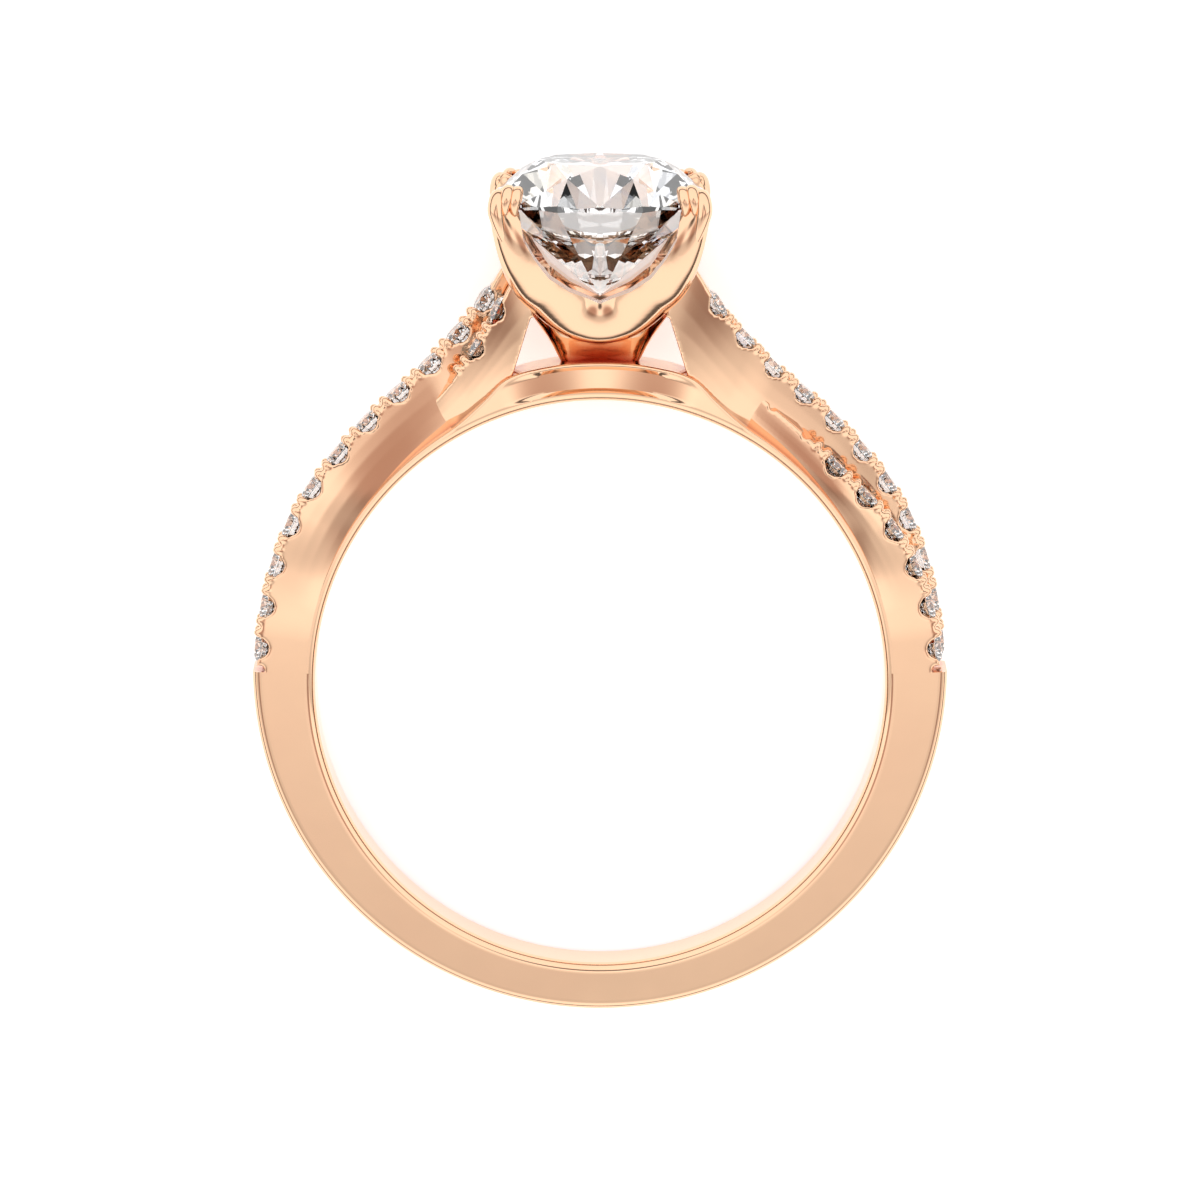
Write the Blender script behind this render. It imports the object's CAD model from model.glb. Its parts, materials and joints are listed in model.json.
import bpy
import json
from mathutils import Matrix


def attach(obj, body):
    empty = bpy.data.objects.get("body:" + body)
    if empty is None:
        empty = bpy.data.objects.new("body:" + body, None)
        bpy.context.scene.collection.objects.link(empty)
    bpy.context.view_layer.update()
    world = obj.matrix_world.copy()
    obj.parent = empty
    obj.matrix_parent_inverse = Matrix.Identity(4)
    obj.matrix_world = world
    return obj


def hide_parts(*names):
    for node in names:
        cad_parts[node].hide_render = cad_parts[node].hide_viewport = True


bl_info = {
    "name": "Twisted Shank Ring",
    "version": (1, 0, 0),
    "blender": (4, 5, 0),
    "location": "View3D > Sidebar > Ring",
    "description": "Models a rose gold ring with twisted stone-set shoulders and a tulip head",
    "category": "Add Mesh",
}

import json
import math

import bmesh
import bpy
from mathutils import Matrix, Vector

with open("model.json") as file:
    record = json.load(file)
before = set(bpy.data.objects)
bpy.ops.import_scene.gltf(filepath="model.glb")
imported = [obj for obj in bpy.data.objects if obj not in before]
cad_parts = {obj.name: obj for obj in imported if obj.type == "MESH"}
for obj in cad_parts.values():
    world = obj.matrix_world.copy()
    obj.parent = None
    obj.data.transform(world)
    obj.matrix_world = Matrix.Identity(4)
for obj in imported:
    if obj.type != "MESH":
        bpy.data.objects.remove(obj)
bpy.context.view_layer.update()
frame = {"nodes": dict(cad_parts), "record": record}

FINGER_HOLE = frame["record"]["mounts"][0]
MM = 0.001
BODY = "root"

# Route of a strand over a shoulder: angle above the side of the ring, climb as a share of the
# shoulder's rise, dip as a share of the crossing's dip, and side as a share of the spread.
CLIMB, DIP, SIDE = 1, 2, 3
UPPER_ROUTE = (
    (-5, 0, 0, 1),
    (10, 0.01, 0, 1.01),
    (20, 0.045, 0, 1.04),
    (30, 0.08, 0, 1.06),
    (40, 0.085, 0, 0.95),
    (50, 0.115, 0, 0.55),
    (60, 0.2, 0, 0),
    (66, 0.36, 0, -0.45),
    (72, 0.62, 0, -0.85),
    (77, 1.04, 0, -1.1),
    (82, 1.5, 0, -1.2),
)
LOWER_ROUTE = (
    (-5, 0, 0.16, -1),
    (10, 0, 0.17, -1.01),
    (20, 0, 0.29, -1.04),
    (30, 0, 0.54, -1.06),
    (40, 0, 0.95, -0.95),
    (50, 0, 0.98, -0.55),
    (60, 0, 0.71, 0),
    (66, 0.02, 0.04, 0.45),
    (72, 0.33, 0, 0.85),
    (77, 0.79, 0, 1.1),
    (82, 1.3, 0, 1.2),
)

# Angles above the side of the ring: ends of a strand, first and last stones of the rows, the
# stretch of the lower row whose places stay bare, and the small hole before the first stone.
STRAND_FROM, STRAND_TO = -1, 80
FIRST_STONE, UPPER_LAST, LOWER_LAST = 6, 73.1, 74.9
BARE_FROM, BARE_TO = 46, 67
END_HOLE_AT = 2.3

# Section of a strand: height from foot to top as a share, half width as a share.
STRAND_FACE = ((0, 0.8), (0.2, 0.88), (0.4, 0.945), (0.6, 0.985), (0.8, 1.0))

# Stretches along a shoulder, as angles: where the strand's foot leaves the finger hole, where
# its sides start to bow, and where it draws in from the plain band's side.
FOOT_LEAVES = (60, 77)
SIDES_BOW = (14, 34)
DRAWS_IN = (8, 24)

# Fine detail in millimetres, which keeps its size when the ring is resized. Edges of rail and
# strands are rounded, with a short flat beside the rounding. A strand rises a ridge above its
# stones' girdles, starts above the finger hole and stays just inside the band's side.
FLAT, RAIL_EDGE, STRAND_EDGE = 0.012, 0.09, 0.09
RIDGE, STRAND_FOOT, FLUSH_GAP = 0.1, 0.16, 0.002
# A grain: radius, distances in from the strand's side, along from the middle between two stones
# and up from their girdles, and how much taller than wide it is.
GRAIN_R, GRAIN_IN, GRAIN_ALONG, GRAIN_UP, GRAIN_TALL = 0.15, 0.12, 0.175, 0.07, 1.3
# Cuts of a row: height above the girdles of a scallop and of a bare place, radius of the end hole
# and of a seat's point, height of a seat's well, and overlap of the well with its point.
SCALLOP_UP, BARE_UP = 0.04, 0.14
END_HOLE_R, POINT_R = 0.15, 0.05
WELL_H, OVERLAP = 0.8, 0.001
# Cells that the head is blended in, and passes of smoothing.
HEAD_CELL = 0.05
HEAD_PASSES, STRAND_PASSES = 8, 5
# Angles between the sections of a strand, and the ends of the points round an edge.
STRAND_STEP = 0.5
EDGE_FROM, EDGE_TO = 8, 82

# Wall of the hoop's rail as a share of the bridge's, by angle above the side of the ring.
WALL = 1
RAIL = (
    (-10, 0.30),
    (20, 0.29),
    (40, 0.29),
    (56, 0.31),
    (62, 0.38),
    (68, 0.68),
    (73, 1.06),
    (80, 1.14),
    (90, 1.14),
)
# Plain band: angle above the side where it ends, and angles between the hoop's sections.
BAND_TOP = 2.0
BAND_STEP, RAIL_STEP = 1.5, 1.0
BAND_JOIN = 0.04
# Hollows in the bridge: how far they reach from its middle, as an angle, and where they run out
# at the finger hole and at the outside, as shares of the wall.
HOLLOW_ANGLE = 18.5
HOLLOW_IN, HOLLOW_OUT = 0.12, 0.14

# One half of the cradle that joins two claws under the stone, from the middle to the tip:
# place along it, across and up as shares of the claws' reach and of the rise from bridge to
# girdle, depth as a share of the reach, and half width and half depth as shares of a claw.
ACROSS, UP, BACK, HALF_W, HALF_D = 1, 2, 3, 4, 5
CRADLE = (
    (-0.121, -0.1756, 0.3523, 0.320, 1.000, 0.533),
    (0.000, 0.000, 0.330, 0.299, 1.022, 0.520),
    (0.121, 0.1756, 0.3523, 0.320, 1.000, 0.533),
    (0.210, 0.2927, 0.393, 0.366, 0.967, 0.556),
    (0.337, 0.450, 0.4786, 0.457, 0.911, 0.578),
    (0.443, 0.573, 0.554, 0.534, 0.867, 0.578),
    (0.571, 0.668, 0.674, 0.616, 0.822, 0.544),
    (0.707, 0.768, 0.817, 0.662, 0.689, 0.470),
    (0.838, 0.863, 0.965, 0.668, 0.467, 0.370),
    (0.914, 0.857, 1.035, 0.645, 0.380, 0.280),
    (0.966, 0.835, 1.070, 0.605, 0.320, 0.190),
    (1.000, 0.817, 1.090, 0.565, 0.240, 0.110),
)
CRADLE_STEPS, CRADLE_SIDES = 56, 32
# Body of the head behind the cradles: height as a share of the rise, half width and half depth
# as shares of the reach, and how square the section is.
STEM_W, STEM_D = 1, 2
STEM = (
    (-0.033, 0.311, 0.110, 3.0),
    (0.014, 0.355, 0.130, 3.0),
    (0.059, 0.392, 0.155, 3.0),
    (0.110, 0.433, 0.195, 3.0),
    (0.171, 0.490, 0.245, 3.0),
    (0.273, 0.592, 0.310, 3.0),
    (0.395, 0.716, 0.370, 3.2),
    (0.521, 0.817, 0.440, 3.6),
    (0.619, 0.860, 0.500, 4.0),
)
# Openings of the head: height as a share of the rise, half width as a share of the reach.
FRONT_OPENING = (
    (0.395, 0),
    (0.478, 0.277),
    (0.565, 0.457),
    (0.690, 0.592),
    (0.800, 0.683),
    (0.985, 0.728),
    (1.060, 0.700),
    (1.300, 0.680),
)
SIDE_OPENING = ((0.5, 0), (0.58, 0.25), (0.68, 0.42), (1.4, 0.55))
# Hollow of the stem: heights as shares of the rise, the height above which it stays as wide, how
# much of the wall stays at its sides and at its front, and how square it is.
HOLLOW = (0.33, 0.45, 0.57, 0.75)
HOLLOW_WIDEST = 0.6
WALL_AT_SIDE, WALL_AT_FRONT = 0.75, 0.4
HOLLOW_SQUARE = 3
# Line that the petals follow: height as a share of the rise, then outwards and forwards as
# shares of the reach.
OUTWARDS, FORWARDS = 1, 2
PETAL_LINE = (
    (0.532, 0.625, 0.534),
    (0.660, 0.724, 0.616),
    (0.811, 0.805, 0.662),
    (0.965, 0.863, 0.668),
    (1.040, 0.858, 0.655),
    (1.140, 0.832, 0.615),
)
# Petals on a claw: offset outwards and forwards and radius in millimetres, lowest and highest
# point as shares of the rise.
PETALS = (
    (0.215, 0.25, 0.245, 0.760, 1.108),
    (-0.06, 0.31, 0.205, 0.950, 1.135),
    (-0.33, 0.28, 0.205, 0.945, 1.126),
)
# Shape of a petal: height of its widest place, how far its lower end draws in, how far its inner
# side reaches back into the claw, and how blunt its tip is.
PETAL_WIDEST = 0.56
PETAL_DRAW = 0.35
PETAL_ROOT = 1.6
PETAL_BLUNT = 5
# Room between shoulder, head and bridge: distance from the middle as a share of the reach and
# height as a share of the rise, at its foot and at its top, then its prism in millimetres.
WINDOW_FOOT = (0.79, -0.06)
WINDOW_TOP = (0.622, 0.305)
WINDOW_PAST_MIDDLE, WINDOW_HALF = 1, 3
PAST_HEAD = 6

# Cut of the stones and of what is cut out for them, as shares of a stone's girdle diameter.
TABLE_SHARE = 0.57
CROWN_SHARE = 0.162
GIRDLE_SHARE = 0.03
PAVILION_SHARE = 0.431
SCALLOP_SHARE = 0.50
BARE_SHARE = 0.26

# Sizes in millimetres of the patterns: haze, drift of tone and waves of the gold, facets of a
# centre and of an accent stone, haze of the stones, and grain of the floor.
GOLD_HAZE, GOLD_DRIFT, GOLD_WAVES = 10 / 9, 4, 10 / 7
CENTRE_FACET, ACCENT_FACET, STONE_HAZE = 1.5, 0.4, 0.5
FLOOR_GRAIN = 2.5

# Brightness of the light tent. The roof's goes by how far a direction runs onward for each step
# up, halved and moved to 0.5, and the foot's by how steeply it climbs.
ROOF = (
    (0.0, 1.4),
    (0.175, 1.35),
    (0.256, 0.95),
    (0.338, 0.80),
    (0.352, 0.84),
    (0.366, 1.01),
    (0.381, 1.28),
    (0.389, 1.48),
    (0.50, 1.4),
    (1.0, 1.35),
)
FOOT = ((0.0, 0.08), (0.18, 0.12), (0.30, 0.80), (0.40, 1.0))
# Middle and half size of the two flags and of the card, aside and onward for each step up, and
# the share of the light that the card takes away.
FLAG = ((0.325, -0.194), (0.213, 0.23))
CARD = ((0.0, 0.07), (0.15, 0.13))
CARD_DARK = 0.9
# Width of the floor in metres.
FLOOR_SIZE = 6


def linear(code):
    """Linear colour of an sRGB hex code."""
    parts = [int(code[i : i + 2], 16) / 255 for i in (1, 3, 5)]
    return (*[c / 12.92 if c <= 0.04045 else ((c + 0.055) / 1.055) ** 2.4 for c in parts], 1)


def colour(name, description, code):
    """Property that holds a colour, given here as an sRGB hex code."""
    return bpy.props.FloatVectorProperty(
        name=name,
        description=description,
        default=linear(code),
        size=4,
        min=0,
        max=1,
        subtype="COLOR",
    )


def length(name, description, size, low, high):
    """Property that holds a length, given here in millimetres."""
    return bpy.props.FloatProperty(
        name=name,
        description=description,
        default=size * MM,
        min=low * MM,
        max=high * MM,
        unit="LENGTH",
        subtype="DISTANCE",
        precision=5,
    )


class RING_PG_shank(bpy.types.PropertyGroup):
    finger_d: length(
        "Finger hole", "Diameter of the finger hole", 2 * FINGER_HOLE["dims"]["r_mm"], 15, 21
    )
    band_w: length("Width", "Width of the band along the finger", 2.2, 2.1, 3)
    side_wall: length("Side wall", "Thickness of the band at its two sides", 1.84, 1.6, 2.4)
    foot_wall: length("Foot wall", "Thickness of the band at its foot", 1.39, 1.1, 2)
    edge_round: length("Outer rounding", "Rounding of the band's outer edges", 0.2, 0.05, 0.3)
    rim_round: length("Rim rounding", "Rounding of the finger hole's rims", 0.25, 0.1, 0.35)


class RING_PG_shoulders(bpy.types.PropertyGroup):
    row_h: length("Row height", "Height of the stone rows above the finger hole", 1.64, 1.45, 1.9)
    split: length("Split", "Gap between the strands side by side", 0.22, 0.2, 0.3)
    inset: length("Inset", "How far a strand lies in from the band's side", 0.04, 0.02, 0.08)
    rise: length("Rise", "How far the upper strand climbs to the head", 2.4, 1.8, 2.8)
    dip: length("Dip", "How far the lower strand dips at the crossing", 0.63, 0.4, 0.75)


class RING_PG_stones(bpy.types.PropertyGroup):
    centre_d: length("Centre stone", "Girdle diameter of the centre stone", 6.5, 6, 7)
    accent_d: length("Accent stone", "Girdle diameter of an accent stone", 1.08, 0.95, 1.1)
    row_count: bpy.props.IntProperty(
        name="Places",
        description="Number of places for accent stones along each strand",
        default=11,
        min=8,
        max=11,
    )
    seat_gap: length("Seat gap", "Air between a stone and its seat", 0.03, 0.02, 0.04)
    cool: colour("Cool fire", "Colour of the cooler facets of the stones", "#CBD8F6")
    clear: colour("Clear", "Colour of most facets of the stones", "#FFFFFF")
    warm: colour("Warm fire", "Colour of the warmer facets of the stones", "#F8E3B4")


class RING_PG_head(bpy.types.PropertyGroup):
    girdle_h: length("Girdle height", "Height of the girdle above the finger hole", 5.91, 5.6, 6.3)
    claw_proud: length("Claw reach", "How far the claws stand out past the girdle", 0.03, 0.02, 0.2)
    claw_w: length("Claw width", "Width of a claw, seen from the front", 0.9, 0.8, 1.05)
    bridge_wall: length("Bridge", "Thickness of the bridge under the head", 1.0, 0.9, 1.15)
    bridge_scoop: length("Scoop", "Depth of the hollows in the bridge", 0.2, 0.1, 0.3)
    basket_wall: length("Wall", "Thickness of the basket's walls", 0.8, 0.7, 0.9)


class RING_PG_finish(bpy.types.PropertyGroup):
    cell: length("Cell", "Size of the cells that the strands are blended in", 0.036, 0.03, 0.1)
    gold: colour("Gold", "Colour of the polished gold", "#F2C7A4")
    gold_low: colour("Gold, deeper", "Slightly deeper tone that the gold drifts to", "#EFC2A0")
    corner: colour("Deep corners", "Colour of the gold that the wheel can't reach", "#B04A34")
    gold_roughness: bpy.props.FloatProperty(
        name="Polish",
        description="Roughness of the polished gold",
        default=0.085,
        min=0,
        max=1,
        subtype="FACTOR",
    )


class RING_PG_studio(bpy.types.PropertyGroup):
    view_lift: bpy.props.FloatProperty(
        name="Lift",
        description="Angle of the camera above the finger hole's axis, towards the stone",
        default=math.radians(9),
        unit="ROTATION",
        subtype="ANGLE",
    )
    distance: length("Distance", "From the middle of the view to the camera", 272, 150, 600)
    view_w: length("View width", "Width of the view at the ring", 35.7, 20, 60)
    view_up: length("View centre", "Middle of the view above the finger hole's centre", 2.35, 0, 6)
    floor_light: colour("Floor", "Colour of the light table", "#FCFCFC")
    floor_dark: colour("Floor, darker", "Slightly darker tone of the light table", "#F9F9F9")
    flag: colour("Flags", "Colour of the two warm flags in the roof", "#AA938C")
    brightness: bpy.props.FloatProperty(
        name="Brightness",
        description="Strength of the studio's light tent",
        default=1.0,
        min=0,
        max=10,
    )


# The groups that shape and finish the ring, and then the studio's.
RING_GROUPS = (
    ("ring_shank", RING_PG_shank),
    ("ring_shoulders", RING_PG_shoulders),
    ("ring_stones", RING_PG_stones),
    ("ring_head", RING_PG_head),
    ("ring_finish", RING_PG_finish),
)
GROUPS = (*RING_GROUPS, ("ring_studio", RING_PG_studio))


class Plan:
    """The ring's sizes in millimetres, worked out from the properties."""

    def __init__(self, scene):
        for group, _ in RING_GROUPS:
            held = getattr(scene, group)
            for key in held.__annotations__:
                value = getattr(held, key)
                unit = held.bl_rna.properties[key].unit
                setattr(self, key, value / MM if unit == "LENGTH" else value)
        self.finger_r = self.finger_d / 2
        self.band_half = self.band_w / 2
        self.bridge_r = self.finger_r + self.bridge_wall
        self.row_r = self.finger_r + self.row_h
        self.foot_r = self.finger_r + self.foot_wall
        side_r = self.finger_r + self.side_wall
        self.band_lift = (side_r**2 - self.foot_r**2) / (2 * self.foot_r)
        self.band_r = self.foot_r + self.band_lift
        self.strand_w = (self.band_w - self.split) / 2 - self.inset
        self.spread = (self.split + self.strand_w) / 2
        self.centre_r = self.centre_d / 2
        self.girdle_z = self.finger_r + self.girdle_h
        self.reach = self.centre_r + self.claw_proud
        self.climb = self.girdle_z - self.bridge_r
        self.upper = self.places(UPPER_ROUTE, UPPER_LAST)
        self.lower = self.places(LOWER_ROUTE, LOWER_LAST)

    def height(self, share):
        """Height above the finger hole's axis of a share of the rise from bridge to girdle."""
        return self.bridge_r + self.climb * share

    def row_radius(self, route, angle):
        """Distance of a row of girdles from the finger hole's axis."""
        climb = smooth(route, CLIMB, angle) * self.rise
        return self.row_r + climb - smooth(route, DIP, angle) * self.dip

    def row_side(self, route, angle):
        """How far a row lies towards the back of the ring."""
        return smooth(route, SIDE, angle) * self.spread

    def row_point(self, route, angle):
        """Point on a row."""
        return polar(self.row_radius(route, angle), angle, self.row_side(route, angle))

    def places(self, route, last, step=0.25):
        """Angles of the places for stones along a row, evenly spaced."""
        count = round((last - FIRST_STONE) / step)
        angles = [FIRST_STONE + (last - FIRST_STONE) * i / count for i in range(count + 1)]
        points = [self.row_point(route, a) for a in angles]
        run = [0]
        for a, b in zip(points, points[1:]):
            run.append(run[-1] + (b - a).length)
        found = []
        for i in range(self.row_count):
            want = run[-1] * i / (self.row_count - 1)
            k = next(k for k in range(1, len(run)) if run[k] >= want - 1e-9)
            share = (want - run[k - 1]) / (run[k] - run[k - 1])
            found.append(angles[k - 1] + share * (angles[k] - angles[k - 1]))
        return found

    def on_row(self, route, angle):
        """Matrix of a place on a row, with Z out of the metal and X along the row."""
        at = self.row_point(route, angle)
        along = self.row_point(route, angle + 0.5) - self.row_point(route, angle - 0.5)
        along.normalize()
        radial = polar(1, angle, 0)
        out = (radial - along * radial.dot(along)).normalized()
        across = out.cross(along)
        turn = Matrix((along, across, out)).transposed().to_4x4()
        return Matrix.Translation(at) @ turn


def smooth(table, column, x):
    """Value of one column of a table at x, on a smooth curve through its rows."""
    i = 0
    while i < len(table) - 2 and table[i + 1][0] <= x:
        i += 1
    h = table[i + 1][0] - table[i][0]
    u = (x - table[i][0]) / h
    p, q = table[i][column], table[i + 1][column]
    m, n = slope(table, column, i) * h, slope(table, column, i + 1) * h
    rise = (2 * u**3 - 3 * u**2 + 1) * p + (u**3 - 2 * u**2 + u) * m
    return rise + (3 * u**2 - 2 * u**3) * q + (u**3 - u**2) * n


def slope(table, column, i):
    """Steepness of the smooth curve at a row of its table."""
    a, b = max(i - 1, 0), min(i + 1, len(table) - 1)
    return (table[b][column] - table[a][column]) / (table[b][0] - table[a][0])


def fade(start, end, x):
    """Share that grows smoothly from 0 at start to 1 at end."""
    t = min(1, max(0, (x - start) / (end - start)))
    return t * t * (3 - 2 * t)


def polar(radius, angle, side):
    """Point at an angle above the ring's right side, with side along the finger."""
    a = math.radians(angle)
    return Vector((radius * math.cos(a), side, radius * math.sin(a)))


def squircle(half_x, half_y, power, z, count=48):
    """Ring of points on a rounded rectangle at one height."""
    points = []
    for i in range(count):
        a = 2 * math.pi * (i + 0.5) / count
        c, s = math.cos(a), math.sin(a)
        k = (abs(c) ** power + abs(s) ** power) ** (-1 / power)
        points.append(Vector((half_x * k * c, half_y * k * s, z)))
    return points


def circle(radius, z, count=64):
    """Ring of points on a circle at one height."""
    angles = [2 * math.pi / count * i for i in range(count)]
    return [Vector((radius * math.cos(a), radius * math.sin(a), z)) for a in angles]


def bend(count):
    """Angles of the points round an edge, a little short of both its ends."""
    span = EDGE_TO - EDGE_FROM
    return [math.radians(EDGE_FROM + span * i / (count - 1)) for i in range(count)]


def deselect():
    bpy.ops.object.select_all(action="DESELECT")


def pick(*pieces):
    """Selects these pieces alone, with the first one active."""
    deselect()
    for piece in pieces:
        piece.select_set(True)
    bpy.context.view_layer.objects.active = pieces[0]


def settle(piece, matrix):
    """Moves a piece by a matrix and writes the move into its mesh."""
    pick(piece)
    piece.matrix_world = matrix @ piece.matrix_world
    bpy.context.view_layer.update()
    bpy.ops.object.transform_apply(location=True, rotation=True, scale=True)
    return piece


def joined(pieces):
    """All these pieces as one, under the first one's name."""
    pick(*pieces)
    if len(pieces) > 1:
        bpy.ops.object.join()
    return bpy.context.object


def loft(rings, closed=False):
    """Extrudes a filled circle through rings of points; a closed loft ends where it began."""
    deselect()
    count = len(rings[0])
    bpy.ops.mesh.primitive_circle_add(vertices=count, fill_type="NGON")
    piece = bpy.context.object
    bpy.ops.object.mode_set(mode="EDIT")
    for k, ring in enumerate(rings):
        if k:
            bpy.ops.mesh.extrude_region_move()
        mesh = bmesh.from_edit_mesh(piece.data)
        mesh.verts.ensure_lookup_table()
        for vertex, point in zip(mesh.verts[-count:], ring):
            vertex.co = point
        bmesh.update_edit_mesh(piece.data)
    if closed:
        mesh = bmesh.from_edit_mesh(piece.data)
        for face in mesh.faces:
            face.select_set(len(face.verts) > 4)
        bmesh.update_edit_mesh(piece.data)
        bpy.ops.mesh.delete(type="FACE")
    bpy.ops.mesh.select_all(action="SELECT")
    bpy.ops.mesh.remove_doubles(threshold=1e-4)
    bpy.ops.mesh.normals_make_consistent(inside=False)
    bpy.ops.object.mode_set(mode="OBJECT")
    return piece


def cut_away(piece, *cutters):
    """Cuts closed shapes that don't meet each other out of a piece."""
    tool = joined(cutters)
    cut = piece.modifiers.new("Cut", "BOOLEAN")
    cut.operation = "DIFFERENCE"
    cut.solver = "MANIFOLD"
    cut.object = tool
    pick(piece)
    bpy.ops.object.modifier_apply(modifier=cut.name)
    bpy.data.objects.remove(tool)
    if not piece.data.polygons:
        raise RuntimeError(f"Nothing is left of {piece.name} after a cut")
    return piece


def blended(piece, cell, passes):
    """Fuses the closed shapes of a piece into one skin and rounds its edges."""
    pick(piece)
    remesh = piece.modifiers.new("Fuse", "REMESH")
    remesh.mode = "VOXEL"
    remesh.voxel_size = cell
    bpy.ops.object.modifier_apply(modifier=remesh.name)
    if not piece.data.polygons:
        raise RuntimeError(f"{piece.name} is thinner than its cells of {cell} mm")
    soften = piece.modifiers.new("Soften", "SMOOTH")
    soften.factor = 0.5
    soften.iterations = passes
    bpy.ops.object.modifier_apply(modifier=soften.name)
    return piece


def lay_down():
    """Matrix from the upright ring in millimetres to where it lies."""
    front = Vector(FINGER_HOLE["axis"]).normalized()
    if front.z < 0:
        front.negate()
    across = Vector((1, 0, 0))
    up = across.cross(-front)
    turn = Matrix((across, -front, up)).transposed().to_4x4()
    return Matrix.Translation(Vector(FINGER_HOLE["pos_m"])) @ turn @ Matrix.Scale(MM, 4)


def finished(piece, name, material, smooth_angle=None):
    """Lays a piece down where the ring lies and names, shades and places it."""
    settle(piece, lay_down())
    piece.name = name
    piece.data.name = name
    piece.data.materials.clear()
    piece.data.materials.append(material)
    pick(piece)
    if smooth_angle is None:
        bpy.ops.object.shade_smooth()
    else:
        bpy.ops.object.shade_smooth_by_angle(angle=math.radians(smooth_angle))
    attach(piece, BODY)
    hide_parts("ring_body")
    return piece


def turned_copy(piece):
    """The same piece, turned half round about the ring's upright axis."""
    pick(piece)
    bpy.ops.object.duplicate()
    return settle(bpy.context.object, Matrix.Rotation(math.pi, 4, "Z"))


def add(tree, kind, settings=None):
    """Adds a node with its settings and links.

    A setting is an attribute or, by name or number, an input. A node given for an input is
    linked from its first output, and stops fill a colour ramp with greys or colours."""
    node = tree.nodes.new(kind)
    for key, value in (settings or {}).items():
        if isinstance(value, bpy.types.Node):
            value = value.outputs[0]
        if key == "stops":
            elements = node.color_ramp.elements
            while len(elements) < len(value):
                elements.new(0.5)
            for element, (position, tone) in zip(elements, value):
                element.position = position
                element.color = tone if isinstance(tone, tuple) else (tone, tone, tone, 1)
        elif not isinstance(key, int) and key not in node.inputs:
            setattr(node, key, value)
        elif isinstance(value, bpy.types.NodeSocket):
            tree.links.new(value, node.inputs[key])
        else:
            node.inputs[key].default_value = value
    return node


def fresh_material(name):
    """A material with its shader and output alone, so that it follows the properties anew."""
    material = bpy.data.materials.get(name) or bpy.data.materials.new(name)
    material.use_nodes = True
    nodes = material.node_tree.nodes
    for node in list(nodes):
        if node.type not in {"BSDF_PRINCIPLED", "OUTPUT_MATERIAL"}:
            nodes.remove(node)
    return material, material.node_tree, nodes["Principled BSDF"]


def per_metre(size_mm):
    """Scale of a pattern whose grain has this size in millimetres."""
    return 1 / (size_mm * MM)


def polished_rose_gold(deep=False):
    """Cast 14 carat rose gold, buffed by hand to a mirror.

    The wheel leaves faint waves and a haze that is a little stronger in places, both drawn about
    a millimetre wide, coarser than real, so that they show. It can't reach into deep corners,
    which keep the darker, redder skin of the casting."""
    finish = bpy.context.scene.ring_finish
    name = "polished_rose_gold_with_deep_corners" if deep else "polished_rose_gold"
    material, tree, shader = fresh_material(name)
    shader.inputs["Metallic"].default_value = 1
    where = add(tree, "ShaderNodeTexCoord").outputs["Object"]
    noise = {"Scale": per_metre(GOLD_HAZE), "Detail": 3, "Vector": where}
    haze = add(tree, "ShaderNodeTexNoise", noise)
    low, high = finish.gold_roughness * 0.8, finish.gold_roughness * 1.3
    worn = {"From Min": 0.3, "From Max": 0.7, "To Min": low, "To Max": high, "Value": haze}
    worn = add(tree, "ShaderNodeMapRange", worn)
    tree.links.new(worn.outputs["Result"], shader.inputs["Roughness"])
    noise = {"Scale": per_metre(GOLD_DRIFT), "Detail": 1, "Vector": where}
    drift = add(tree, "ShaderNodeTexNoise", noise)
    stops = ((0.3, tuple(finish.gold_low)), (0.7, tuple(finish.gold)))
    tint = add(tree, "ShaderNodeValToRGB", {"Fac": drift, "stops": stops})
    tree.links.new(tint.outputs["Color"], shader.inputs["Base Color"])
    noise = {"Scale": per_metre(GOLD_WAVES), "Detail": 2, "Vector": where}
    waves = add(tree, "ShaderNodeTexNoise", noise)
    bump = {"Strength": 0.05, "Distance": 0.02 * MM, "Height": waves}
    bump = add(tree, "ShaderNodeBump", bump)
    tree.links.new(bump.outputs["Normal"], shader.inputs["Normal"])
    if not deep:
        return material
    corner = add(tree, "ShaderNodeAmbientOcclusion", {"samples": 8, "Distance": 0.9 * MM})
    stops = ((0.25, 0.0), (0.62, 1.0))
    reached = add(tree, "ShaderNodeValToRGB", {"Fac": corner.outputs["AO"], "stops": stops})
    skin = {"data_type": "RGBA", 0: reached, 6: finish.corner, 7: tint}
    skin = add(tree, "ShaderNodeMix", skin)
    tree.links.new(skin.outputs[2], shader.inputs["Base Color"])
    return material


def brilliant_cut_diamond(name, facet_mm):
    """Diamond, cut in flat facets and polished on a lap.

    It bends light strongly and has almost no haze. A few patches about one facet wide are tinted
    blue or straw, as the fire of a real stone is."""
    stones = bpy.context.scene.ring_stones
    material, tree, shader = fresh_material(name)
    shader.inputs["Transmission Weight"].default_value = 1
    shader.inputs["IOR"].default_value = 2.417
    where = add(tree, "ShaderNodeTexCoord").outputs["Object"]
    cells = add(tree, "ShaderNodeTexVoronoi", {"Scale": per_metre(facet_mm), "Vector": where})
    cool, clear, warm = tuple(stones.cool), tuple(stones.clear), tuple(stones.warm)
    stops = ((0.0, cool), (0.22, clear), (0.82, clear), (1.0, warm))
    tint = add(tree, "ShaderNodeValToRGB", {"Fac": cells.outputs["Color"], "stops": stops})
    tree.links.new(tint.outputs["Color"], shader.inputs["Base Color"])
    noise = {"Scale": per_metre(STONE_HAZE), "Detail": 2, "Vector": where}
    haze = add(tree, "ShaderNodeTexNoise", noise)
    polish = add(tree, "ShaderNodeMapRange", {"To Min": 0.0, "To Max": 0.012, "Value": haze})
    tree.links.new(polish.outputs["Result"], shader.inputs["Roughness"])
    return material


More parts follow.
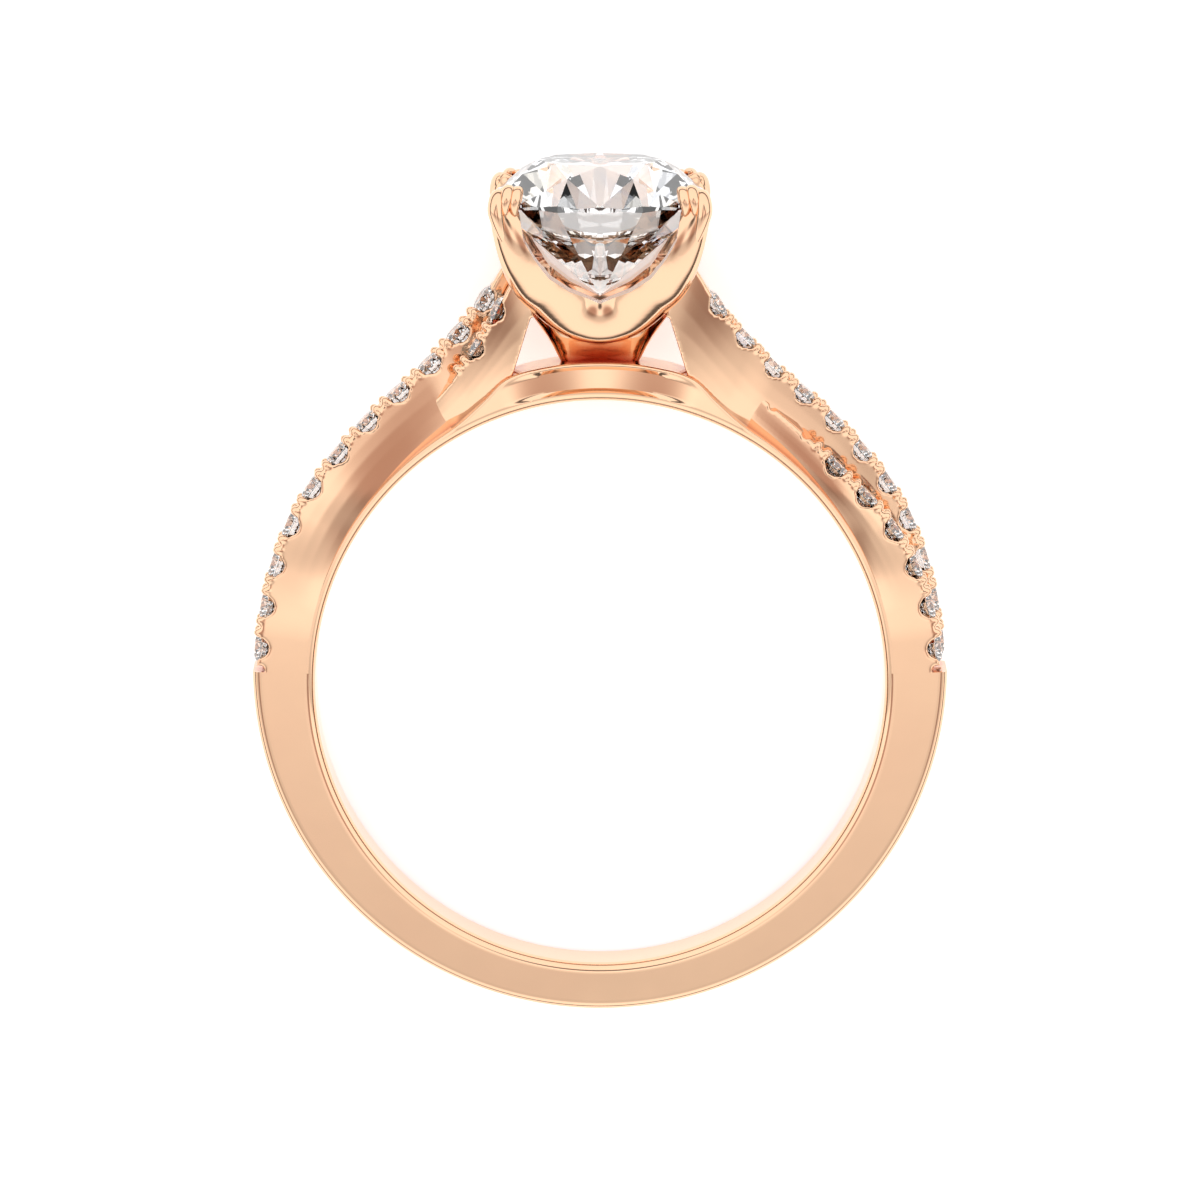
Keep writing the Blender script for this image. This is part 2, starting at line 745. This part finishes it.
def hoop_outside(p, angle):
    """Distance from the finger hole's axis to the outside of the plain band."""
    c = p.band_lift * math.sin(math.radians(angle))
    return c + math.sqrt(p.band_r**2 - p.band_lift**2 + c * c)


def hoop_section(p, angle, plain):
    """Closed section of the hoop at an angle, as plain band or as rail and bridge."""
    hollow = 0
    if plain:
        outside = hoop_outside(p, angle)
        edge, edge_y = p.edge_round, p.edge_round * 1.15
    else:
        above = min(angle, 180 - angle)
        outside = p.finger_r + smooth(RAIL, WALL, above) * p.bridge_wall
        edge = edge_y = RAIL_EDGE
        away = min(1, (90 - above) / HOLLOW_ANGLE)
        hollow = p.bridge_scoop * (1 - away * away) ** 2
    half = p.band_half
    rim = p.rim_round
    inside = (0, (half - rim) * 0.6, half - rim - FLAT)
    front = [(p.finger_r, -y) for y in inside]
    for a in bend(7):
        front.append((p.finger_r + rim * (1 - math.cos(a)), -(half - rim + rim * math.sin(a))))
    low, high = p.finger_r + rim, outside - edge
    for i in range(15):
        t = i / 14
        r = low + FLAT + (high - low - 2 * FLAT) * t
        front.append((r, -(half - hollow * fade(0, HOLLOW_IN, t) * fade(0, HOLLOW_OUT, 1 - t))))
    for a in bend(6):
        front.append((high + edge * math.sin(a), -(half - edge_y * (1 - math.cos(a)))))
    front.append((outside, -(half - edge_y - FLAT)))
    front.append((outside, 0))
    back = [(r, -y) for r, y in reversed(front[1:-1])]
    return [polar(r, angle, y) for r, y in front + back]


def hoop(p):
    """Plain band, inner rail and bridge, as one closed loft round the finger."""
    rings = []
    span = 180 + 2 * BAND_TOP
    count = round(span / BAND_STEP)
    for i in range(count + 1):
        rings.append(hoop_section(p, 180 - BAND_TOP + span * i / count, True))
    span = 180 - 2 * BAND_TOP
    count = round(span / RAIL_STEP)
    for i in range(count + 1):
        angle = BAND_TOP + BAND_JOIN + (span - 2 * BAND_JOIN) * i / count
        rings.append(hoop_section(p, angle, False))
    rings.append(rings[0])
    return loft(rings, closed=True)


def strand(p, route):
    """Deep wall that follows a route, with bowed sides and rounded top edges.

    It starts flush with the plain band's side and stands free of the rail further up."""
    edge = STRAND_EDGE
    rings = []
    count = round((STRAND_TO - STRAND_FROM) / STRAND_STEP)
    for k in range(count + 1):
        angle = STRAND_FROM + (STRAND_TO - STRAND_FROM) * k / count
        foot = p.finger_r + STRAND_FOOT + p.bridge_wall * fade(*FOOT_LEAVES, angle)
        top = p.row_radius(route, angle) + RIDGE
        y0 = p.row_side(route, angle)
        bow = fade(*SIDES_BOW, angle)
        room = p.band_half - FLUSH_GAP - abs(y0) - p.strand_w / 2
        flush = room * (1 - fade(*DRAWS_IN, angle))
        outline = []
        for face in (1, -1):
            half = p.strand_w / 2 + (flush if face * y0 > 0 else 0)
            side = []
            for h, w in STRAND_FACE:
                side.append((foot + (top - edge - foot) * h, half * (1 - (1 - w) * bow)))
            for i in range(4):
                a = math.radians(30 * i)
                side.append((top - edge + edge * math.sin(a), half - edge + edge * math.cos(a)))
            side = [(r, y0 + face * y) for r, y in side]
            outline += side if face == 1 else side[::-1]
        rings.append([polar(r, angle, y) for r, y in outline])
    return loft(rings)


def row_tools(p, route, angles, bare):
    """Cutters of a row's seats, grouped so that no two in a group meet."""
    scallops, wells, points = [], [], []
    well = p.accent_d / 2 + p.seat_gap
    depth = p.accent_d * PAVILION_SHARE
    edge = p.accent_d * GIRDLE_SHARE / 2 + p.seat_gap
    for i, angle in enumerate(angles):
        at = p.on_row(route, angle)
        bpy.ops.mesh.primitive_cylinder_add(
            vertices=48,
            radius=p.accent_d * (BARE_SHARE if i in bare else SCALLOP_SHARE) / 2,
            depth=p.band_half * 1.1,
            location=(0, 0, BARE_UP if i in bare else SCALLOP_UP),
            rotation=(math.pi / 2, 0, 0),
        )
        scallops.append(settle(bpy.context.object, at))
        if i in bare:
            continue
        bpy.ops.mesh.primitive_cylinder_add(
            vertices=48, radius=well, depth=WELL_H, location=(0, 0, WELL_H / 2 - edge)
        )
        wells.append(settle(bpy.context.object, at))
        bpy.ops.mesh.primitive_cone_add(
            vertices=48,
            radius1=POINT_R,
            radius2=well,
            depth=depth,
            location=(0, 0, OVERLAP - edge - depth / 2),
        )
        points.append(settle(bpy.context.object, at))
    return scallops, wells, points


def end_hole(p, route):
    """Cutter of the small hole through a strand before its first stone."""
    bpy.ops.mesh.primitive_cylinder_add(
        vertices=32, radius=END_HOLE_R, depth=p.band_half, rotation=(math.pi / 2, 0, 0)
    )
    return settle(bpy.context.object, p.on_row(route, END_HOLE_AT))


def grains(p, route, angles, bare):
    """Four small grains of metal between each two stones, raised to hold them."""
    made = []
    side = p.strand_w / 2 - GRAIN_IN
    for i, (a, b) in enumerate(zip(angles, angles[1:])):
        if i in bare and i + 1 in bare:
            continue
        at = p.on_row(route, (a + b) / 2)
        for along in (-GRAIN_ALONG, GRAIN_ALONG):
            for across in (-side, side):
                bpy.ops.mesh.primitive_uv_sphere_add(
                    segments=20,
                    ring_count=12,
                    radius=GRAIN_R,
                    location=(along, across, GRAIN_UP),
                    scale=(1, 1, GRAIN_TALL),
                )
                made.append(settle(bpy.context.object, at))
    return made


def window(p):
    """Prism of the room between a shoulder, the head and the bridge."""
    foot, top = p.height(WINDOW_FOOT[1]), p.height(WINDOW_TOP[1])
    inner = -WINDOW_PAST_MIDDLE
    outer_foot, outer_top = p.reach * WINDOW_FOOT[0], p.reach * WINDOW_TOP[0]
    outline = ((inner, foot), (outer_foot, foot), (outer_top, top), (inner, top))
    return loft([[Vector((x, y, z)) for x, z in outline] for y in (WINDOW_HALF, -WINDOW_HALF)])


def stone_room(p):
    """Shape of the centre stone with the gap all round, as a cutter."""
    r = p.centre_r + p.seat_gap
    edge = p.centre_d * GIRDLE_SHARE / 2 + p.seat_gap
    crown = p.centre_d * CROWN_SHARE
    slant = p.centre_r * (1 - TABLE_SHARE)
    z = p.girdle_z
    return loft([
        circle(POINT_R, z - edge - p.centre_d * PAVILION_SHARE),
        circle(r, z - edge),
        circle(r, z + edge),
        circle(r - slant, z + edge + crown),
    ])


def set_strand(p, route, angles, bare):
    """One strand with its seats cut and its grains raised."""
    piece = strand(p, route)
    for group in row_tools(p, route, angles, bare):
        cut_away(piece, *group)
    cut_away(piece, end_hole(p, route))
    cut_away(piece, window(p))
    cut_away(piece, stone_room(p))
    piece = joined([piece, *grains(p, route, angles, bare)])
    return blended(piece, p.cell, STRAND_PASSES)


def cradle_line(p, u):
    """Middle of a cradle at a place from 0 under the stone to 1 at a claw's tip."""
    x = smooth(CRADLE, ACROSS, u) * p.reach
    y = -smooth(CRADLE, BACK, u) * p.reach
    return Vector((x, y, p.height(smooth(CRADLE, UP, u))))


def cradle(p):
    """Two claws and the curved stretch that joins them under the stone."""
    rings = []
    for k in range(-CRADLE_STEPS, CRADLE_STEPS + 1):
        u = abs(k) / CRADLE_STEPS
        sign = -1 if k < 0 else 1
        at = cradle_line(p, u)
        ahead = cradle_line(p, min(u + 0.01, 1)) - cradle_line(p, max(u - 0.01, -0.1))
        ahead.normalize()
        back = Vector((0, 1, 0))
        back = (back - ahead * back.dot(ahead)).normalized()
        across = ahead.cross(back)
        half_w = smooth(CRADLE, HALF_W, u) * p.claw_w
        half_d = smooth(CRADLE, HALF_D, u) * p.claw_w
        ring = []
        for i in range(CRADLE_SIDES):
            a = 2 * math.pi * i / CRADLE_SIDES
            point = at + across * half_w * math.cos(a) + back * half_d * math.sin(a)
            ring.append(Vector((point.x * sign, point.y, point.z)))
        rings.append(ring)
    return loft(rings)


def opening(p, table, along_x=False):
    """Prism of an opening between two claws."""
    right = [(p.reach * w, p.height(h)) for h, w in table]
    outline = right + [(-x, z) for x, z in reversed(right[1:])]
    ends = (PAST_HEAD, -PAST_HEAD)
    if along_x:
        return loft([[Vector((-y, x, z)) for x, z in outline] for y in ends])
    return loft([[Vector((x, y, z)) for x, z in outline] for y in ends])


def stem(p):
    """Hollow body of the head behind the cradles, with its foot on the bridge."""
    rings = [squircle(p.reach * x, p.reach * y, n, p.height(h)) for h, x, y, n in STEM]
    piece = loft(rings)
    hollow = []
    for h in HOLLOW:
        level = min(h, HOLLOW_WIDEST)
        x = smooth(STEM, STEM_W, level) * p.reach - p.basket_wall * WALL_AT_SIDE
        y = smooth(STEM, STEM_D, level) * p.reach - p.basket_wall * WALL_AT_FRONT
        hollow.append(squircle(x, y, HOLLOW_SQUARE, p.height(h)))
    cut_away(piece, loft(hollow))
    return cut_away(piece, opening(p, SIDE_OPENING, along_x=True))


def petal(p, spec, side_x, side_y):
    """Pointed petal that lies on the outside of a claw."""
    outwards, forwards, radius, low, high = spec
    widest = low + (high - low) * PETAL_WIDEST
    bpy.ops.mesh.primitive_uv_sphere_add(segments=28, ring_count=20, radius=1)
    piece = bpy.context.object
    for vertex in piece.data.vertices:
        x, y, z = vertex.co
        if 0 < z < 0.999:
            full = math.sqrt((1 - z**PETAL_BLUNT) / (1 - z**2))
            x, y = x * full, y * full
        share = widest + z * ((widest - low) if z < 0 else (high - widest))
        draw = 1 - PETAL_DRAW * max(0, -z)
        root = 1 + PETAL_ROOT * max(0, z) if y > 0 else 1
        at_x = smooth(PETAL_LINE, OUTWARDS, share) * p.reach + outwards + radius * x * draw
        at_y = smooth(PETAL_LINE, FORWARDS, share) * p.reach + forwards - radius * y * draw * root
        vertex.co = (side_x * at_x, side_y * at_y, p.height(share))
    bpy.ops.object.mode_set(mode="EDIT")
    bpy.ops.mesh.select_all(action="SELECT")
    bpy.ops.mesh.normals_make_consistent(inside=False)
    bpy.ops.object.mode_set(mode="OBJECT")
    return piece


class RING_OT_hoop(bpy.types.Operator):
    """Model the plain band with its inner rail and the bridge under the head"""

    bl_idname = "ring.hoop"
    bl_label = "Plain band and bridge"

    def execute(self, context):
        p = Plan(context.scene)
        finished(hoop(p), "plain_band_and_bridge", polished_rose_gold(deep=True), 30)
        return {"FINISHED"}


class RING_OT_shoulders(bpy.types.Operator):
    """Model the two strands of each shoulder with their seats and grains"""

    bl_idname = "ring.shoulders"
    bl_label = "Twisted shoulders"

    def execute(self, context):
        p = Plan(context.scene)
        gold = polished_rose_gold()
        bare = [i for i, a in enumerate(p.lower) if BARE_FROM < a < BARE_TO]
        for name, route, angles, empty in (
            ("upper_strand", UPPER_ROUTE, p.upper, []),
            ("lower_strand", LOWER_ROUTE, p.lower, bare),
        ):
            right = set_strand(p, route, angles, empty)
            left = turned_copy(right)
            finished(right, name + "_right", gold)
            finished(left, name + "_left", gold)
        return {"FINISHED"}


class RING_OT_head(bpy.types.Operator):
    """Model the head: a hollow stem, two cradles with four claws, and the petals on them"""

    bl_idname = "ring.head"
    bl_label = "Tulip head"

    def execute(self, context):
        p = Plan(context.scene)
        front = cradle(p)
        back = turned_copy(front)
        body = blended(joined([stem(p), front, back]), HEAD_CELL, HEAD_PASSES)
        cut_away(body, opening(p, FRONT_OPENING))
        cut_away(body, stone_room(p))
        finished(body, "head_basket", polished_rose_gold(deep=True), 40)
        petals = [petal(p, spec, x, y) for spec in PETALS for x in (-1, 1) for y in (-1, 1)]
        petals = joined(petals)
        cut_away(petals, stone_room(p))
        finished(petals, "claw_petals", polished_rose_gold(), 40)
        return {"FINISHED"}


class RING_OT_stones(bpy.types.Operator):
    """Give the centre stone and the accent stones their cut and polished look"""

    bl_idname = "ring.stones"
    bl_label = "Stones"

    def execute(self, context):
        centre = brilliant_cut_diamond("brilliant_cut_diamond", CENTRE_FACET)
        accent = brilliant_cut_diamond("small_cut_diamond", ACCENT_FACET)
        slots = 0
        for name, node in frame["nodes"].items():
            if name == "ring_body":
                continue
            for slot in node.material_slots:
                slot.material = centre if name == "centre_stone" else accent
                slots += 1
        if not slots:
            raise RuntimeError("The frame holds no stone with a material")
        return {"FINISHED"}


class RING_OT_studio(bpy.types.Operator):
    """Set up the pale floor, the light tent and the camera"""

    bl_idname = "ring.studio"
    bl_label = "Studio"

    def execute(self, context):
        scene = context.scene
        studio = scene.ring_studio
        deselect()
        bpy.ops.mesh.primitive_plane_add(size=FLOOR_SIZE, location=(0, 0, 0))
        floor = context.object
        floor.name = "studio_floor"
        floor.data.materials.append(matt_white_floor(studio))
        scene.view_settings.view_transform = "Standard"

        lay = lay_down()
        middle = lay @ Vector((0, 0, studio.view_up / MM))
        front = (lay.to_3x3() @ Vector((0, -1, 0))).normalized()
        up = (lay.to_3x3() @ Vector((0, 0, 1))).normalized()
        towards = front * math.cos(studio.view_lift) + up * math.sin(studio.view_lift)
        side = up.cross(towards).normalized()
        scene.world = light_tent(studio)
        turn = Matrix((side, towards.cross(side), towards)).transposed().to_4x4()
        bpy.ops.object.camera_add()
        camera = context.object
        camera.matrix_world = Matrix.Translation(middle + towards * studio.distance) @ turn
        camera.data.lens = camera.data.sensor_width * studio.distance / studio.view_w
        camera.data.clip_start = 0.01
        scene.camera = camera
        return {"FINISHED"}


def matt_white_floor(studio):
    """Light table of acrylic sheet, sanded matt and lit a little from below.

    Shadows on it stay pale. Its grain is drawn far coarser than real, so that it shows."""
    material, tree, shader = fresh_material("matt_white_acrylic")
    shader.inputs["Roughness"].default_value = 0.9
    shader.inputs["Specular IOR Level"].default_value = 0.1
    shader.inputs["Emission Color"].default_value = linear("#FFFFFF")
    shader.inputs["Emission Strength"].default_value = 0.35
    where = add(tree, "ShaderNodeTexCoord").outputs["Object"]
    noise = {"Scale": per_metre(FLOOR_GRAIN), "Detail": 2, "Vector": where}
    grain = add(tree, "ShaderNodeTexNoise", noise)
    stops = ((0.3, tuple(studio.floor_dark)), (0.7, tuple(studio.floor_light)))
    tint = add(tree, "ShaderNodeValToRGB", {"Fac": grain, "stops": stops})
    tree.links.new(tint.outputs["Color"], shader.inputs["Base Color"])
    return material


def soft_patch(tree, place, middle, half):
    """Patch of the tent's roof with a soft edge: 1 in its middle and 0 outside it.

    Place, middle and half size are each given aside and onward."""
    squares = []
    for at, centre, size in zip(place, middle, half):
        off = add(tree, "ShaderNodeMath", {"operation": "SUBTRACT", 0: at, 1: centre})
        off = add(tree, "ShaderNodeMath", {"operation": "DIVIDE", 0: off, 1: size})
        squares.append(add(tree, "ShaderNodeMath", {"operation": "MULTIPLY", 0: off, 1: off}))
    far = add(tree, "ShaderNodeMath", {"operation": "ADD", 0: squares[0], 1: squares[1]})
    far = add(tree, "ShaderNodeMath", {"operation": "MULTIPLY", 0: far, 1: far})
    far = add(tree, "ShaderNodeMath", {"operation": "MULTIPLY", 0: far, 1: -1.0})
    return add(tree, "ShaderNodeMath", {"operation": "EXPONENT", 0: far})


def light_tent(studio):
    """Soft studio light from all round, with two warm flags and a dark card in its roof.

    Flat faces mirror the roof between the flags; what turns aside mirrors a flag and goes dark,
    and edges mirror the dark foot of the tent. The small card overhead gives the stones dark
    facets. A direction is given as how far it goes aside and onward for each step up."""
    world = bpy.data.worlds.new("light_tent")
    world.use_nodes = True
    tree = world.node_tree
    where = add(tree, "ShaderNodeTexCoord").outputs["Generated"]
    parts = add(tree, "ShaderNodeSeparateXYZ", {"Vector": where}).outputs
    aside = add(tree, "ShaderNodeMath", {"operation": "DIVIDE", 0: parts["X"], 1: parts["Z"]})
    aside = add(tree, "ShaderNodeMath", {"operation": "ABSOLUTE", 0: aside})
    onward = add(tree, "ShaderNodeMath", {"operation": "DIVIDE", 0: parts["Y"], 1: parts["Z"]})
    level = add(tree, "ShaderNodeMath", {"operation": "MULTIPLY_ADD", 0: onward, 1: 0.5, 2: 0.5})
    roof = add(tree, "ShaderNodeValToRGB", {"Fac": level, "stops": ROOF})
    foot = add(tree, "ShaderNodeValToRGB", {"Fac": parts["Z"], "stops": FOOT})
    flag = soft_patch(tree, (aside, onward), *FLAG)
    card = soft_patch(tree, (aside, onward), *CARD)
    card = add(tree, "ShaderNodeMath", {"operation": "MULTIPLY", 0: card, 1: CARD_DARK})
    open_roof = add(tree, "ShaderNodeMath", {"operation": "SUBTRACT", 0: 1.0, 1: card})
    shade = {"data_type": "RGBA", 0: flag, 6: linear("#FFFFFF"), 7: studio.flag}
    light = add(tree, "ShaderNodeMix", shade).outputs[2]
    for factor in (roof, foot, open_roof):
        mix = {"data_type": "RGBA", "blend_type": "MULTIPLY", 0: 1, 6: light, 7: factor}
        light = add(tree, "ShaderNodeMix", mix).outputs[2]
    background = tree.nodes["Background"]
    background.inputs["Strength"].default_value = studio.brightness
    tree.links.new(light, background.inputs["Color"])
    return world


OPERATORS = (RING_OT_hoop, RING_OT_shoulders, RING_OT_head, RING_OT_stones, RING_OT_studio)


class RING_PT_sidebar(bpy.types.Panel):
    bl_idname = "RING_PT_sidebar"
    bl_label = "Twisted Shank Ring"
    bl_space_type = "VIEW_3D"
    bl_region_type = "UI"
    bl_category = "Ring"

    def draw(self, context):
        for group, kind in GROUPS:
            box = self.layout.box()
            held = getattr(context.scene, group)
            for key in kind.__annotations__:
                box.prop(held, key)
        for operator in OPERATORS:
            self.layout.operator(operator.bl_idname)


def register():
    for group, kind in GROUPS:
        bpy.utils.register_class(kind)
        setattr(bpy.types.Scene, group, bpy.props.PointerProperty(type=kind))
    for kind in (*OPERATORS, RING_PT_sidebar):
        bpy.utils.register_class(kind)


def unregister():
    for kind in (RING_PT_sidebar, *reversed(OPERATORS)):
        bpy.utils.unregister_class(kind)
    for group, kind in reversed(GROUPS):
        delattr(bpy.types.Scene, group)
        bpy.utils.unregister_class(kind)


def main():
    register()
    bpy.ops.ring.hoop()
    bpy.ops.ring.shoulders()
    bpy.ops.ring.head()
    bpy.ops.ring.stones()
    bpy.ops.ring.studio()


if __name__ == "__main__":
    main()
